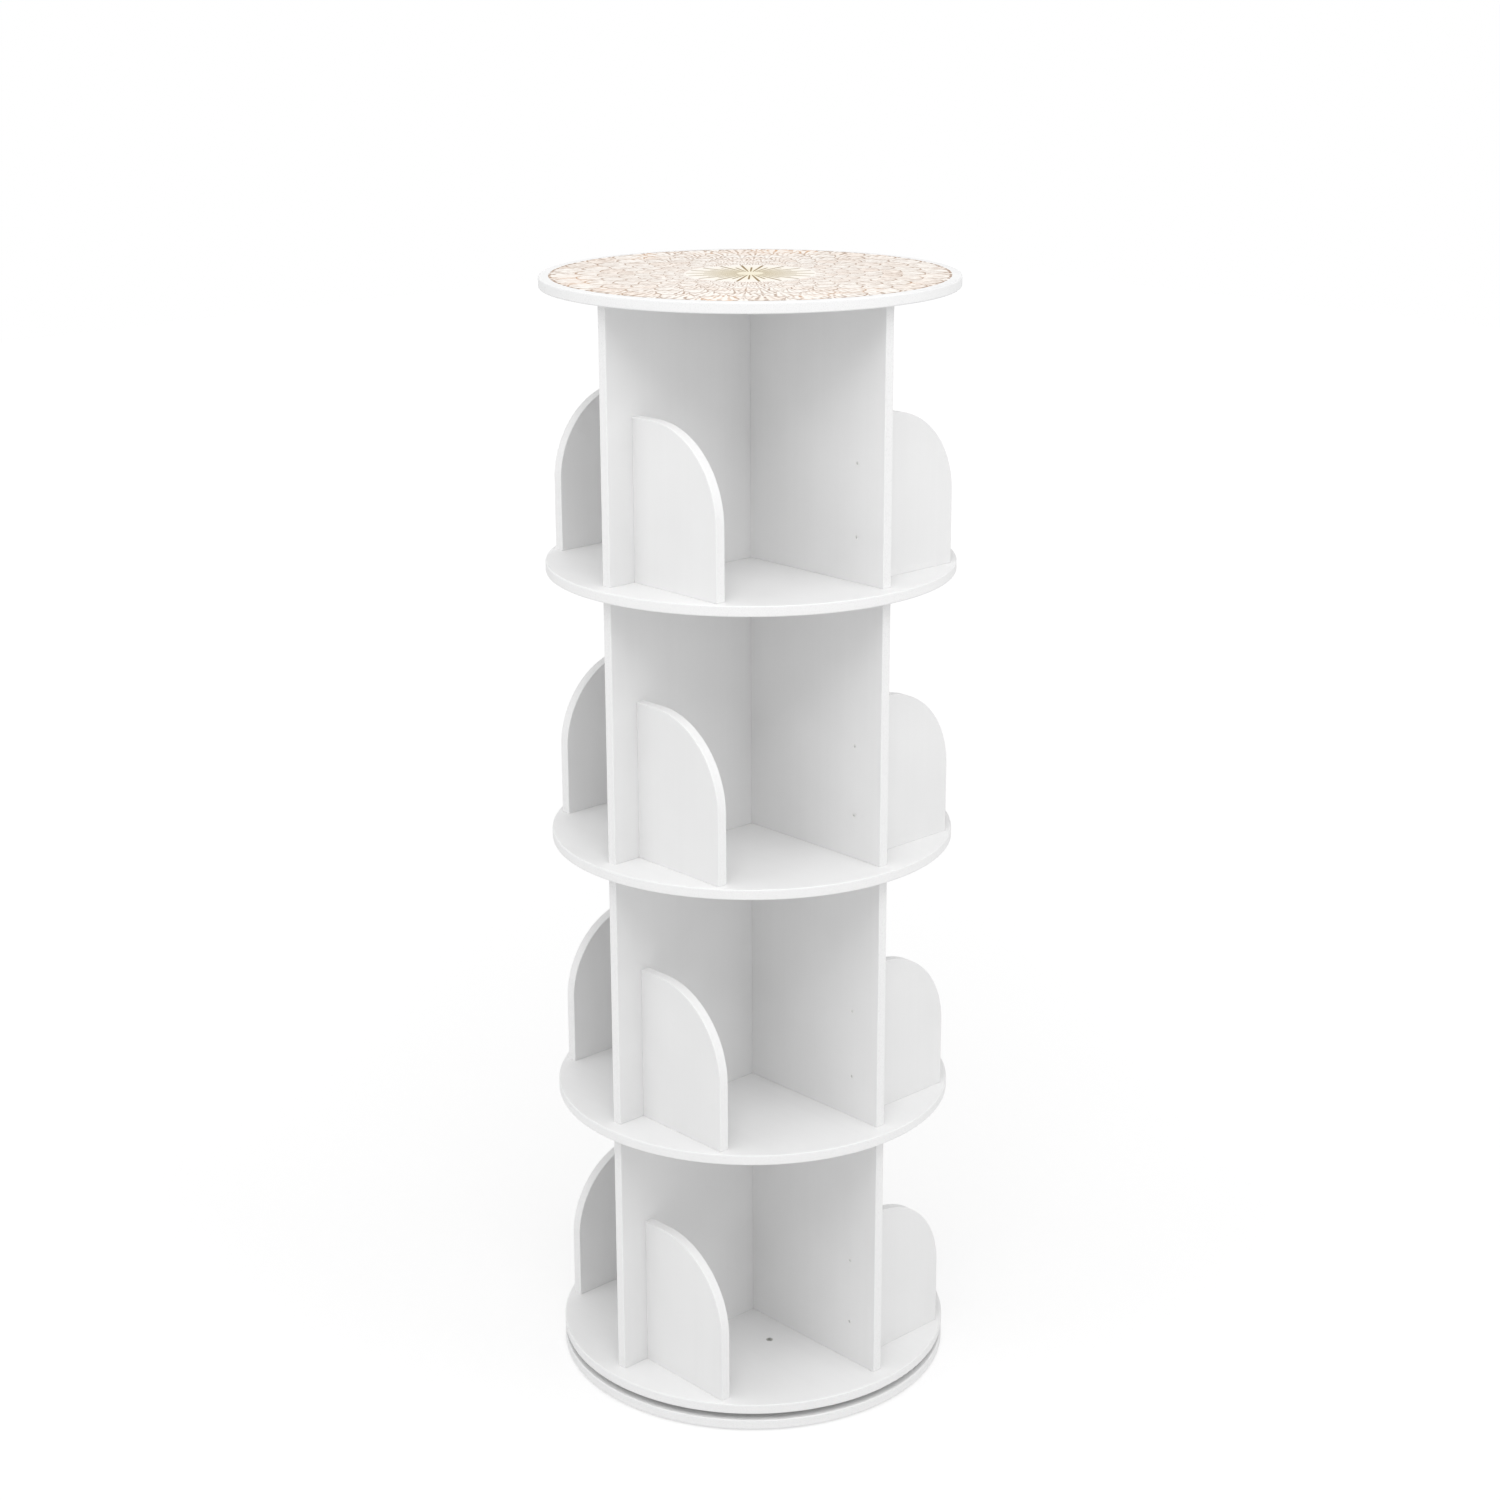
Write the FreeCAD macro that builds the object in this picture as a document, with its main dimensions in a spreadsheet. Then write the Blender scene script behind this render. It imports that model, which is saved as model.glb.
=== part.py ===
import FreeCAD, Part
import os
from types import SimpleNamespace

import Sketcher
from FreeCAD import Placement, Rotation, Vector

# Revolving round bookcase with four tiers.
#
# A fixed base disc carries a thin ball-bearing turntable. Everything above the
# turntable turns as one: a floor disc, three shelf discs and a top disc, held
# apart by two full-width uprights per tier that are halved into each other on
# the turning axis. Each of the four bays of a tier is closed on one side by a
# low fence with a quarter-round outer corner.
#
# Frame: millimetres, +Z up, origin on the floor at the turning axis. The
# uprights run along X and Y. What repeats around the axis is made once, on the
# -X side, and turned by quarter turns.

DRIVING_SIZES = {
    # round boards
    "disc_diameter": 460.0,
    "disc_thickness": 12.0,
    "base_thickness": 12.0,
    "rim_rounding": 1.5,
    # uprights
    "upright_setback": 18.0,
    "upright_height": 302.0,
    "upright_thickness": 12.0,
    "lap_clearance": 0.2,
    # edges of uprights and fences: open ones, and those along a joint
    "edge_rounding": 1.0,
    "seam_rounding": 0.5,
    # fences: depth out from the upright, and mid-plane to the upright's end
    "fence_depth": 131.0,
    "fence_height": 180.0,
    "fence_thickness": 12.0,
    "fence_corner_radius": 100.0,
    "fence_inset": 40.5,
    # turntable
    "turntable_height": 8.0,
    "ring_lift": 0.5,
    "ring_width": 15.0,
    "race_gap": 2.0,
    "ball_circle_diameter": 190.0,
    "ball_diameter": 5.0,
    "ball_count": 30,
    "groove_clearance": 0.3,
    "cage_thickness": 1.0,
    "cage_height": 6.4,
    "cage_clearance": 0.2,
    "ring_screw_inset": 6.0,
    # pads under the base
    "pad_diameter": 30.0,
    "pad_thickness": 2.0,
    "pad_inset": 30.0,
    # screws and their holes
    "screw_diameter": 3.5,
    "screw_head_diameter": 7.0,
    "board_screw_length": 40.0,
    "bracket_screw_length": 12.0,
    "ring_screw_length": 16.0,
    "bolt_diameter": 4.0,
    "bolt_head_diameter": 8.0,
    "bolt_length": 18.0,
    "recess_length": 3.6,
    "recess_width": 0.9,
    "recess_depth": 1.2,
    "hole_clearance": 0.2,
    "hole_end_clearance": 1.0,
    # places of the screws and dowels
    "upright_screw_inset": 62.0,
    "fence_screw_low": 50.0,
    "fence_screw_high": 130.0,
    "fence_foot_screw_near": 35.0,
    "fence_foot_screw_far": 100.0,
    "dowel_offset": 60.0,
    "dowel_diameter": 6.0,
    "dowel_length": 20.0,
    "dowel_depth_in_disc": 8.0,
    # corner brackets under the top disc
    "bracket_leg": 20.0,
    "bracket_thickness": 3.0,
    "bracket_width": 20.0,
    "bracket_offset": 95.0,
}

TIERS = (1, 2, 3, 4)
TOP_TIER = TIERS[-1]
QUARTERS = (0, 90, 180, 270)
FENCE_NAMES = ("a", "b", "c", "d")
RING_SCREWS = 6
PADS = 6
COUNTERSINK_ANGLE = 90
TOUCH = 1e-6
UPWARD = Rotation(Vector(1, 0, 0), 180)
TOWARDS_MINUS_Y = Rotation(Vector(1, 0, 0), -90)
TOWARDS_PLUS_Y = Rotation(Vector(1, 0, 0), 90)


class Size:
    """A dimension, as a number and as the sheet expression that gives it."""

    def __init__(self, number, text):
        self.number = number
        self.text = text

    def __add__(self, other):
        other = as_size(other)
        return Size(self.number + other.number, f"({self.text} + {other.text})")

    def __sub__(self, other):
        other = as_size(other)
        return Size(self.number - other.number, f"({self.text} - {other.text})")

    def __mul__(self, factor):
        return Size(self.number * factor, f"({self.text} * {factor})")

    def __truediv__(self, factor):
        return Size(self.number / factor, f"({self.text} / {factor})")

    def __neg__(self):
        return Size(-self.number, f"(-1 * {self.text})")


def as_size(value):
    """A Size as it is, and a plain number as a Size."""
    if isinstance(value, Size):
        return value
    return Size(value, str(value))


def smaller(first, second):
    """The smaller of two sizes."""
    return Size(min(first.number, second.number), f"min({first.text}; {second.text})")


def fill_sheet(doc):
    """Write the driving sizes into the sheet and return them by name."""
    sheet = doc.addObject("Spreadsheet::Sheet", "Sizes")
    for row, (name, value) in enumerate(DRIVING_SIZES.items(), start=1):
        sheet.set(f"A{row}", name)
        sheet.set(f"B{row}", str(value))
        sheet.setAlias(f"B{row}", name)
    doc.recompute()
    return {name: Size(float(sheet.get(name)), f"Sizes.{name}") for name in DRIVING_SIZES}


doc = FreeCAD.newDocument("RevolvingBookcase")
s = SimpleNamespace(**fill_sheet(doc))


# ---------------------------------------------------------------- levels
base_bottom = s.pad_thickness
base_top = base_bottom + s.base_thickness
floor_bottom = base_top + s.turntable_height
tier_pitch = s.upright_height + s.disc_thickness


def disc_bottom(index):
    """Underside of the floor disc (0), of a shelf disc (1 to 3) or of the top disc (4)."""
    return floor_bottom + tier_pitch * index


def tier_foot(tier):
    """Level that the boards of a tier stand on."""
    return disc_bottom(tier - 1) + s.disc_thickness


# ---------------------------------------------------------------- shared distances
upright_face = s.upright_thickness / 2
upright_end = s.disc_diameter / 2 - s.upright_setback
upright_screw_offset = upright_end - s.upright_screw_inset
fence_offset = upright_end - s.fence_inset
fence_tip = upright_face + s.fence_depth
ball_circle_radius = s.ball_circle_diameter / 2
outer_ring_bore = ball_circle_radius + s.race_gap / 2
outer_ring_rim = outer_ring_bore + s.ring_width
inner_ring_rim = ball_circle_radius - s.race_gap / 2
inner_ring_bore = inner_ring_rim - s.ring_width
base_screw_radius = outer_ring_rim - s.ring_screw_inset
bolt_radius = inner_ring_bore + s.ring_screw_inset
ring_height = s.turntable_height - s.ring_lift
screw_hole = s.screw_diameter + s.hole_clearance
head_hole = s.screw_head_diameter + s.hole_clearance
bracket_screw_reach = (s.bracket_leg + s.bracket_thickness) / 2
board_screw_bite = s.board_screw_length - s.disc_thickness + s.hole_end_clearance
fence_screw_bite = s.board_screw_length - s.upright_thickness + s.hole_end_clearance
bracket_screw_bite = s.bracket_screw_length - s.bracket_thickness + s.hole_end_clearance
dowel_bite = s.dowel_length - s.dowel_depth_in_disc + s.hole_end_clearance
fence_foot_spots = [(-fence_offset, -(upright_face + reach))
                    for reach in (s.fence_foot_screw_near, s.fence_foot_screw_far)]


# ---------------------------------------------------------------- sketch and feature helpers
def bind(thing, path, size):
    """Tie a property or a constraint to the sheet."""
    thing.setExpression(path, as_size(size).text)


def origin_item(body, role):
    """An origin plane or axis of a body."""
    return next(item for item in body.Origin.OriginFeatures if item.Role == role)


def new_sketch(body, label, role="XY_Plane", offset=0):
    """A sketch on an origin plane of the body, moved along the plane's normal."""
    sketch = body.newObject("Sketcher::SketchObject", label)
    sketch.AttachmentSupport = [(origin_item(body, role), "")]
    sketch.MapMode = "FlatFace"
    bind(sketch, "AttachmentOffset.Base.z", offset)
    return sketch


def constrain(sketch, kind, references, size):
    """Add one dimension that follows the sheet."""
    index = sketch.addConstraint(Sketcher.Constraint(kind, *references, as_size(size).number))
    bind(sketch, f"Constraints[{index}]", size)


def pin_point(sketch, geometry, point, x, y):
    """Hold one point of the sketch at x, y from the sketch's origin."""
    for kind, axis, size in (("DistanceX", -2, x), ("DistanceY", -1, y)):
        if as_size(size).number == 0:
            sketch.addConstraint(Sketcher.Constraint("PointOnObject", geometry, point, axis))
        else:
            constrain(sketch, kind, (-1, 1, geometry, point), size)


def draw_polygon(sketch, corners):
    """A closed outline of straight lines through the corners."""
    points = [Vector(as_size(x).number, as_size(y).number, 0) for x, y in corners]
    first = sketch.GeometryCount
    count = len(points)
    for index in range(count):
        line = Part.LineSegment(points[index], points[(index + 1) % count])
        sketch.addGeometry(line, False)
    for index in range(count):
        following = first + (index + 1) % count
        sketch.addConstraint(Sketcher.Constraint("Coincident", first + index, 2, following, 1))
    for index, (x, y) in enumerate(corners):
        pin_point(sketch, first + index, 1, x, y)


def draw_rectangle(sketch, left, right, low, high):
    """An upright rectangle given by its four sides."""
    draw_polygon(sketch, [(left, low), (right, low), (right, high), (left, high)])


def draw_circle(sketch, x, y, diameter):
    """A circle of one diameter about x, y."""
    centre = Vector(as_size(x).number, as_size(y).number, 0)
    circle = Part.Circle(centre, Vector(0, 0, 1), diameter.number / 2)
    index = sketch.addGeometry(circle, False)
    pin_point(sketch, index, 3, x, y)
    constrain(sketch, "Diameter", (index,), diameter)


def new_body(label, z=0, turn=0):
    """A body at a level, turned about the turning axis."""
    body = doc.addObject("PartDesign::Body", label)
    body.Label = label
    body.Placement = Placement(Vector(0, 0, 0), Rotation(Vector(0, 0, 1), turn))
    bind(body, "Placement.Base.z", z)
    return body


def pad(body, sketch, length, both_ways=False):
    """Thicken a sketch along its normal, or by half each way."""
    feature = body.newObject("PartDesign::Pad", f"{body.Label}_pad")
    feature.Profile = sketch
    feature.SideType = "Symmetric" if both_ways else "One side"
    bind(feature, "Length", length)
    doc.recompute()
    return feature


def revolve(body, sketch, kind="PartDesign::Revolution"):
    """Turn a sketch a full turn about its upright axis, as solid or as a cut."""
    feature = body.newObject(kind, f"{body.Label}_turned")
    feature.Profile = sketch
    feature.ReferenceAxis = (sketch, ["V_Axis"])
    feature.Angle = 360
    doc.recompute()
    return feature


def lies_at(level, size):
    """Whether a coordinate is at a size, to within modelling accuracy."""
    return abs(level - size.number) < TOUCH


def round_edges(body, radius, chosen):
    """Round the edges of the body's last feature that the test picks."""
    base = body.Tip
    names = [f"Edge{number}" for number, edge in enumerate(base.Shape.Edges, start=1) if chosen(edge)]
    fillet = body.newObject("PartDesign::Fillet", f"{body.Label}_rounding")
    fillet.Base = (base, names)
    bind(fillet, "Radius", radius)
    doc.recompute()


def repeat_about_axis(body, feature, copies):
    """Repeat a feature evenly about the turning axis."""
    pattern = body.newObject("PartDesign::PolarPattern", f"{feature.Label}_pattern")
    pattern.Originals = [feature]
    pattern.Axis = (origin_item(body, "Z_Axis"), [""])
    pattern.Angle = 360
    pattern.Occurrences = copies
    body.Tip = pattern
    doc.recompute()


def drill(body, label, place, spots, diameter, head=None, depth=None, copies=1):
    """Holes at the spots of a sketch plane.

    place is the plane's role, its offset and whether the drill goes along the
    plane's normal. A head diameter adds a countersink, no depth goes right
    through, and copies repeats the holes about the turning axis.
    """
    role, offset, along_normal = place
    sketch = new_sketch(body, f"{label}_spots", role, offset)
    for x, y in spots:
        draw_circle(sketch, x, y, diameter)
    doc.recompute()
    hole = body.newObject("PartDesign::Hole", label)
    hole.Profile = sketch
    doc.recompute()
    hole.ThreadType = "None"
    hole.Reversed = along_normal
    bind(hole, "Diameter", diameter)
    hole.DepthType = "ThroughAll" if depth is None else "Dimension"
    hole.DrillPoint = "Flat"
    if depth is not None:
        bind(hole, "Depth", depth)
    if head is not None:
        hole.HoleCutType = "Countersink"
        hole.HoleCutCustomValues = True
        hole.HoleCutCountersinkAngle = COUNTERSINK_ANGLE
        bind(hole, "HoleCutDiameter", head)
    doc.recompute()
    if copies > 1:
        repeat_about_axis(body, hole, copies)


def quarter_turns(placement, copies=4):
    """The placement and its copies, turned evenly about the turning axis."""
    turns = (Rotation(Vector(0, 0, 1), 360 * index / copies) for index in range(copies))
    return [Placement(Vector(0, 0, 0), turn).multiply(placement) for turn in turns]


def place_at(x, y, z, rotation=Rotation()):
    """A placement at sizes x, y and z."""
    numbers = [as_size(value).number for value in (x, y, z)]
    return Placement(Vector(*numbers), rotation)


def make_group(label, master, placements):
    """Identical separate solids in one object, copied from one master."""
    group = doc.addObject("Part::Feature", label)
    group.Label = label
    copies = []
    for placement in placements:
        copy = master.Shape.copy()
        copy.Placement = placement
        copies.append(copy)
    group.Shape = Part.makeCompound(copies)
    return group


# ---------------------------------------------------------------- round boards
def make_disc(label, thickness, level):
    """A round board with softly rounded rims."""
    body = new_body(label, level)
    outline = new_sketch(body, f"{label}_outline")
    draw_circle(outline, 0, 0, s.disc_diameter)
    pad(body, outline, thickness)
    round_edges(body, s.rim_rounding, lambda edge: len(edge.Vertexes) == 1)
    return body


def drill_fence_feet(body, label):
    """Holes up through a disc for the screws into the feet of the fences above it."""
    drill(body, f"{label}_fence_holes", ("XY_Plane", 0, True), fence_foot_spots,
          screw_hole, head_hole, copies=4)


def make_base_disc():
    """The fixed disc, with blind holes for the turntable's screws."""
    body = make_disc("base_disc", s.base_thickness, base_bottom)
    depth = s.ring_screw_length - ring_height + s.hole_end_clearance
    drill(body, "base_ring_holes", ("XY_Plane", s.base_thickness, False),
          [(base_screw_radius, 0)], screw_hole, depth=depth, copies=RING_SCREWS)
    return body


def make_floor_disc():
    """The lowest turning disc: bolted to the turntable, screwed to the first tier."""
    body = make_disc("floor_disc", s.disc_thickness, disc_bottom(0))
    drill(body, "floor_upright_holes", ("XY_Plane", 0, True), [(-upright_screw_offset, 0)],
          screw_hole, head_hole, copies=4)
    drill_fence_feet(body, "floor")
    drill(body, "floor_bolt_holes", ("XY_Plane", s.disc_thickness, False), [(bolt_radius, 0)],
          s.bolt_diameter + s.hole_clearance, s.bolt_head_diameter + s.hole_clearance,
          copies=RING_SCREWS)
    return body


def make_shelf_disc(index):
    """A shelf: screwed down to the tier below, doweled to the tier above."""
    body = make_disc(f"shelf_disc_{index}", s.disc_thickness, disc_bottom(index))
    drill(body, f"shelf{index}_upright_holes", ("XY_Plane", s.disc_thickness, False),
          [(-upright_screw_offset, 0)], screw_hole, head_hole, copies=4)
    drill(body, f"shelf{index}_dowel_holes", ("XY_Plane", s.disc_thickness, False),
          [(-s.dowel_offset, 0)], s.dowel_diameter + s.hole_clearance,
          depth=s.dowel_depth_in_disc, copies=4)
    drill_fence_feet(body, f"shelf{index}")
    return body


def make_top_disc():
    """The top: nothing shows on it, it is held from below by dowels and brackets."""
    body = make_disc("top_disc", s.disc_thickness, disc_bottom(TOP_TIER))
    drill(body, "top_dowel_holes", ("XY_Plane", 0, True), [(-s.dowel_offset, 0)],
          s.dowel_diameter + s.hole_clearance, depth=s.dowel_depth_in_disc, copies=4)
    drill(body, "top_bracket_holes", ("XY_Plane", 0, True),
          [(-s.bracket_offset, -(upright_face + bracket_screw_reach))],
          screw_hole, depth=bracket_screw_bite, copies=4)
    return body


# ---------------------------------------------------------------- uprights
def drill_upright_ends(body, label, tier):
    """Holes in the lower and upper edges, for screws or for dowels."""
    lower_edge = ("XY_Plane", 0, True)
    upper_edge = ("XY_Plane", s.upright_height, False)
    screws = [(-upright_screw_offset, 0)]
    dowels = [(-s.dowel_offset, 0)]
    dowel_hole = s.dowel_diameter + s.hole_clearance
    if tier == TIERS[0]:
        drill(body, f"{label}_foot_holes", lower_edge, screws, screw_hole,
              depth=board_screw_bite, copies=2)
    else:
        drill(body, f"{label}_foot_holes", lower_edge, dowels, dowel_hole,
              depth=dowel_bite, copies=2)
    if tier == TOP_TIER:
        drill(body, f"{label}_head_holes", upper_edge, dowels, dowel_hole,
              depth=dowel_bite, copies=2)
    else:
        drill(body, f"{label}_head_holes", upper_edge, screws, screw_hole,
              depth=board_screw_bite, copies=2)


def make_upright(tier, name, slot_low, slot_high, turn):
    """A full-width upright, slotted to half its height where the other one crosses it."""
    label = f"tier{tier}_upright_{name}"
    body = new_body(label, tier_foot(tier), turn)
    outline = new_sketch(body, f"{label}_outline", "XZ_Plane")
    draw_rectangle(outline, -upright_end, upright_end, 0, s.upright_height)
    pad(body, outline, s.upright_thickness, both_ways=True)
    round_edges(body, s.edge_rounding, is_open_upright_edge)
    round_edges(body, s.seam_rounding, is_upright_seam)
    cut_lap_slot(body, label, slot_low, slot_high)
    drill(body, f"{label}_fence_holes", ("XZ_Plane", -upright_face, True),
          [(-fence_offset, s.fence_screw_low), (-fence_offset, s.fence_screw_high)],
          screw_hole, head_hole, copies=2)
    drill_upright_ends(body, label, tier)
    if tier == TOP_TIER:
        drill(body, f"{label}_bracket_holes", ("XZ_Plane", upright_face, False),
              [(-s.bracket_offset, s.upright_height - bracket_screw_reach)],
              screw_hole, depth=bracket_screw_bite, copies=2)
    return body


def is_open_upright_edge(edge):
    """Whether an edge stands on end at either end of an upright."""
    box = edge.BoundBox
    return box.XLength < TOUCH and box.YLength < TOUCH and lies_at(abs(box.XMin), upright_end)


def is_upright_seam(edge):
    """Whether an edge runs along a disc, on a face of the upright."""
    box = edge.BoundBox
    along_disc = box.ZLength < TOUCH and box.YLength < TOUCH
    return along_disc and lies_at(abs(box.YMin), upright_face)


def cut_lap_slot(body, label, low, high):
    """The halving slot for the crossing upright."""
    half_width = (s.upright_thickness + s.lap_clearance) / 2
    slot = new_sketch(body, f"{label}_slot", "XZ_Plane")
    draw_rectangle(slot, -half_width, half_width, low, high)
    pocket = body.newObject("PartDesign::Pocket", f"{label}_lap")
    pocket.Profile = slot
    pocket.Type = "Length"
    pocket.SideType = "Symmetric"
    bind(pocket, "Length", s.upright_thickness * 2)
    doc.recompute()


def make_uprights(tier):
    """The two crossing uprights of a tier: one is open upwards, the other downwards."""
    middle = s.upright_height / 2
    play = s.lap_clearance / 2
    make_upright(tier, "x", middle - play, s.upright_height, 0)
    make_upright(tier, "y", 0, middle + play, 90)


# ---------------------------------------------------------------- fences
def make_fence(tier, name, turn):
    """A low fence that stands on the disc and butts against an upright."""
    label = f"tier{tier}_fence_{name}"
    body = new_body(label, tier_foot(tier), turn)
    outline = new_sketch(body, f"{label}_outline", "YZ_Plane", -fence_offset)
    draw_rectangle(outline, -fence_tip, -upright_face, 0, s.fence_height)
    pad(body, outline, s.fence_thickness, both_ways=True)
    room = smaller(s.fence_depth, s.fence_height) - s.edge_rounding * 2
    round_edges(body, smaller(s.fence_corner_radius, room), is_fence_corner)
    round_edges(body, s.edge_rounding, is_open_fence_edge)
    round_edges(body, s.seam_rounding, is_fence_seam)
    drill(body, f"{label}_side_holes", ("XZ_Plane", upright_face, True),
          [(-fence_offset, s.fence_screw_low), (-fence_offset, s.fence_screw_high)],
          screw_hole, depth=fence_screw_bite)
    drill(body, f"{label}_foot_holes", ("XY_Plane", 0, True), fence_foot_spots,
          screw_hole, depth=board_screw_bite)
    return body


def is_fence_corner(edge):
    """Whether an edge is the outer top corner of a fence."""
    box = edge.BoundBox
    at_tip = box.YLength < TOUCH and lies_at(-box.YMin, fence_tip)
    return at_tip and box.ZLength < TOUCH and lies_at(box.ZMin, s.fence_height)


def is_open_fence_edge(edge):
    """Whether an edge of a face runs along the top, the quarter round or the outer end."""
    box = edge.BoundBox
    off_the_joints = box.ZMax > TOUCH and -box.YMin > upright_face.number + TOUCH
    return box.XLength < TOUCH and off_the_joints


def is_fence_seam(edge):
    """Whether an edge of a face runs along the disc or along the upright."""
    box = edge.BoundBox
    along_disc = box.ZMax < TOUCH
    along_upright = box.YLength < TOUCH and lies_at(-box.YMin, upright_face)
    return box.XLength < TOUCH and (along_disc or along_upright)


def make_fences(tier):
    """The four fences of a tier, a quarter turn apart."""
    for name, turn in zip(FENCE_NAMES, QUARTERS):
        make_fence(tier, name, turn)


# ---------------------------------------------------------------- turntable
def make_ring(label, bore, rim, low, high):
    """A flat ring with a round groove for the balls."""
    body = new_body(label, base_top)
    section = new_sketch(body, f"{label}_section", "XZ_Plane")
    draw_rectangle(section, bore, rim, low, high)
    revolve(body, section)
    groove = new_sketch(body, f"{label}_groove", "XZ_Plane")
    groove_diameter = s.ball_diameter + s.groove_clearance * 2
    draw_circle(groove, ball_circle_radius, s.turntable_height / 2, groove_diameter)
    revolve(body, groove, "PartDesign::Groove")
    return body


def make_outer_ring():
    """The fixed ring, screwed down to the base."""
    body = make_ring("turntable_outer_ring", outer_ring_bore, outer_ring_rim, 0, ring_height)
    drill(body, "outer_ring_holes", ("XY_Plane", ring_height, False), [(base_screw_radius, 0)],
          screw_hole, head_hole, copies=RING_SCREWS)
    return body


def make_inner_ring():
    """The turning ring, with tapped holes for the bolts of the floor disc."""
    body = make_ring("turntable_inner_ring", inner_ring_bore, inner_ring_rim,
                     s.ring_lift, s.turntable_height)
    drill(body, "inner_ring_holes", ("XY_Plane", s.turntable_height, False), [(bolt_radius, 0)],
          s.bolt_diameter + s.hole_clearance, copies=RING_SCREWS)
    return body


def make_cage():
    """The thin band between the rings that keeps the balls apart."""
    body = new_body("ball_cage", base_top)
    middle = s.turntable_height / 2
    outline = new_sketch(body, "cage_outline", offset=middle)
    draw_circle(outline, 0, 0, s.ball_circle_diameter + s.cage_thickness)
    draw_circle(outline, 0, 0, s.ball_circle_diameter - s.cage_thickness)
    pad(body, outline, s.cage_height, both_ways=True)
    window = new_sketch(body, "cage_window", "YZ_Plane", ball_circle_radius)
    draw_circle(window, 0, middle, s.ball_diameter + s.cage_clearance * 2)
    pocket = body.newObject("PartDesign::Pocket", "cage_windows")
    pocket.Profile = window
    pocket.Type = "Length"
    pocket.SideType = "Symmetric"
    bind(pocket, "Length", s.ball_diameter)
    doc.recompute()
    repeat_about_axis(body, pocket, int(s.ball_count.number))
    return body


def make_balls():
    """The ring of balls, one in each window of the cage."""
    ball = doc.addObject("Part::Sphere", "ball_master")
    bind(ball, "Radius", s.ball_diameter / 2)
    doc.recompute()
    middle = base_top + s.turntable_height / 2
    first = place_at(ball_circle_radius, 0, middle)
    return make_group("turntable_balls", ball, quarter_turns(first, int(s.ball_count.number)))


def make_pads():
    """Round self-adhesive pads that the base stands on."""
    pad_disc = doc.addObject("Part::Cylinder", "pad_master")
    bind(pad_disc, "Radius", s.pad_diameter / 2)
    bind(pad_disc, "Height", s.pad_thickness)
    doc.recompute()
    first = place_at(s.disc_diameter / 2 - s.pad_inset, 0, 0)
    return make_group("foot_pads", pad_disc, quarter_turns(first, PADS))


# ---------------------------------------------------------------- fasteners
def make_screw(label, diameter, head_diameter, length):
    """A countersunk screw with a cross recess, its head's face at z = 0 and its tip below."""
    body = new_body(label)
    section = new_sketch(body, f"{label}_section", "XZ_Plane")
    head_height = (head_diameter - diameter) / 2
    radius = diameter / 2
    draw_polygon(section, [(0, 0), (head_diameter / 2, 0), (radius, -head_height),
                           (radius, radius - length), (0, -length)])
    revolve(body, section)
    recess = new_sketch(body, f"{label}_recess")
    draw_cross(recess, s.recess_length / 2, s.recess_width / 2)
    pocket = body.newObject("PartDesign::Pocket", f"{label}_drive")
    pocket.Profile = recess
    pocket.Type = "Length"
    bind(pocket, "Length", s.recess_depth)
    doc.recompute()
    return body


def draw_cross(sketch, reach, half_width):
    """The outline of an upright cross with equal arms."""
    draw_polygon(sketch, [
        (reach, -half_width), (reach, half_width), (half_width, half_width),
        (half_width, reach), (-half_width, reach), (-half_width, half_width),
        (-reach, half_width), (-reach, -half_width), (-half_width, -half_width),
        (-half_width, -reach), (half_width, -reach), (half_width, -half_width)])


def make_board_screws():
    """The long screws that join discs to uprights, and fences to uprights and discs."""
    screw = make_screw("board_screw_master", s.screw_diameter, s.screw_head_diameter,
                       s.board_screw_length)
    at_upright = -upright_screw_offset
    make_group("floor_upright_screws", screw,
               quarter_turns(place_at(at_upright, 0, disc_bottom(0), UPWARD)))
    shelf_screws = []
    fence_screws = []
    foot_screws = []
    for tier in TIERS:
        foot = tier_foot(tier)
        if tier != TIERS[0]:
            shelf_screws += quarter_turns(place_at(at_upright, 0, foot))
        for height in (s.fence_screw_low, s.fence_screw_high):
            spot = place_at(-fence_offset, upright_face, foot + height, TOWARDS_MINUS_Y)
            fence_screws += quarter_turns(spot)
        for x, y in fence_foot_spots:
            foot_screws += quarter_turns(place_at(x, y, disc_bottom(tier - 1), UPWARD))
    make_group("shelf_upright_screws", screw, shelf_screws)
    make_group("fence_side_screws", screw, fence_screws)
    make_group("fence_foot_screws", screw, foot_screws)


def make_turntable_screws():
    """Wood screws that hold the outer ring, and bolts that hold the inner ring."""
    screw = make_screw("ring_screw_master", s.screw_diameter, s.screw_head_diameter,
                       s.ring_screw_length)
    make_group("turntable_base_screws", screw,
               quarter_turns(place_at(base_screw_radius, 0, base_top + ring_height), RING_SCREWS))
    bolt = make_screw("ring_bolt_master", s.bolt_diameter, s.bolt_head_diameter, s.bolt_length)
    make_group("turntable_floor_bolts", bolt,
               quarter_turns(place_at(bolt_radius, 0, tier_foot(1)), RING_SCREWS))


def make_dowels():
    """Pins that locate the uprights on the shelf discs and under the top disc."""
    dowel = doc.addObject("Part::Cylinder", "dowel_master")
    bind(dowel, "Radius", s.dowel_diameter / 2)
    bind(dowel, "Height", s.dowel_length)
    doc.recompute()
    at_upright = -s.dowel_offset
    spots = []
    for tier in TIERS[1:]:
        spots += quarter_turns(place_at(at_upright, 0, tier_foot(tier) - s.dowel_depth_in_disc))
    top_end = disc_bottom(TOP_TIER) + s.dowel_depth_in_disc
    spots += quarter_turns(place_at(at_upright, 0, top_end - s.dowel_length))
    make_group("upright_dowels", dowel, spots)


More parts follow.
